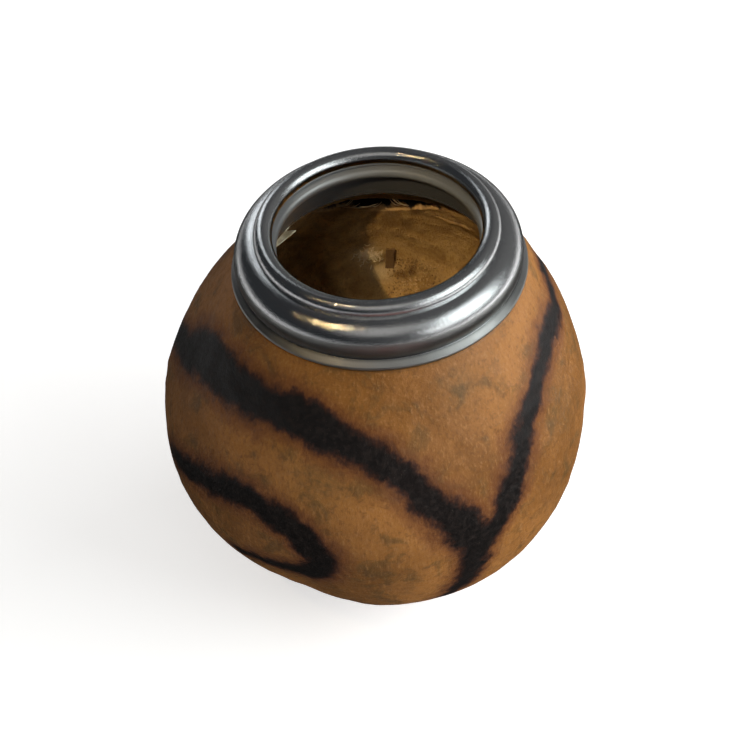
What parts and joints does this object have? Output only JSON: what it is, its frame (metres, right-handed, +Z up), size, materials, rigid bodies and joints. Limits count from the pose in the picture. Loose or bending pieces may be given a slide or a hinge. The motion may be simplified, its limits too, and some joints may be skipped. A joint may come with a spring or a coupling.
{
  "type": "mate gourd cup",
  "caption": "Round cup made from a dried calabash gourd with dark burnt stripes and a polished spun metal rim around its open mouth, empty.",
  "frame": {"origin": "middle of the flat spot that the gourd stands on", "axes": "+Z up along the axis of the rim; the gourd's belly leans towards -X of that axis, and -Y is the side with the striped front"},
  "size_m": [0.0898, 0.0872, 0.0934],
  "materials": {
    "gourd": "dried calabash skin, satin, orange-brown with near-black burnt stripes, tan and dull inside",
    "rim": "polished on the outside, fine turning lines inside the mouth"
  },
  "bodies": {
    "root": {"gourd": "gourd", "rim": "rim"}
  },
  "joints": []
}
